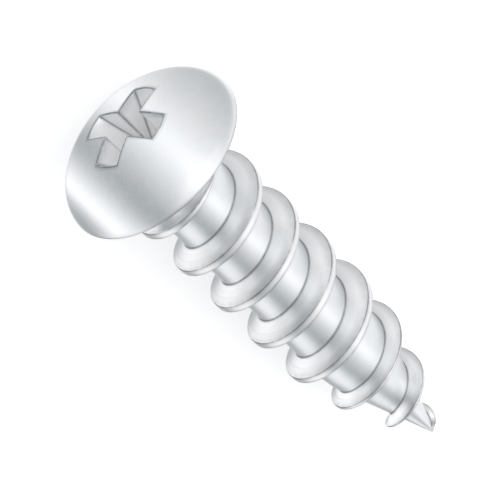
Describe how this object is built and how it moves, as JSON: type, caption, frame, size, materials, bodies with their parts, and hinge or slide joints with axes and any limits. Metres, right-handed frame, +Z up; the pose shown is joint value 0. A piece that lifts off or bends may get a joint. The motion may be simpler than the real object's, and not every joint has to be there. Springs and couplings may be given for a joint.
{
  "type": "round head self-tapping screw",
  "caption": "Zinc-plated steel self-tapping screw with a domed head, a cross recess and a coarse thread that runs out to a sharp point.",
  "frame": {"origin": "on the floor, under the middle of the screw as it lies at rest on the rim of its head and on one turn of its thread", "axes": "+X along the screw from the head to the point, +Z up, +Y across; the screw's own axis leans 7.2 degrees down towards the point"},
  "size_m": [0.0206, 0.0078, 0.0077],
  "materials": {
    "zinc_plated_steel": "bright zinc plating, smooth and slightly uneven, as rolled and forged"
  },
  "bodies": {
    "root": {"screw": "zinc_plated_steel"}
  },
  "joints": []
}
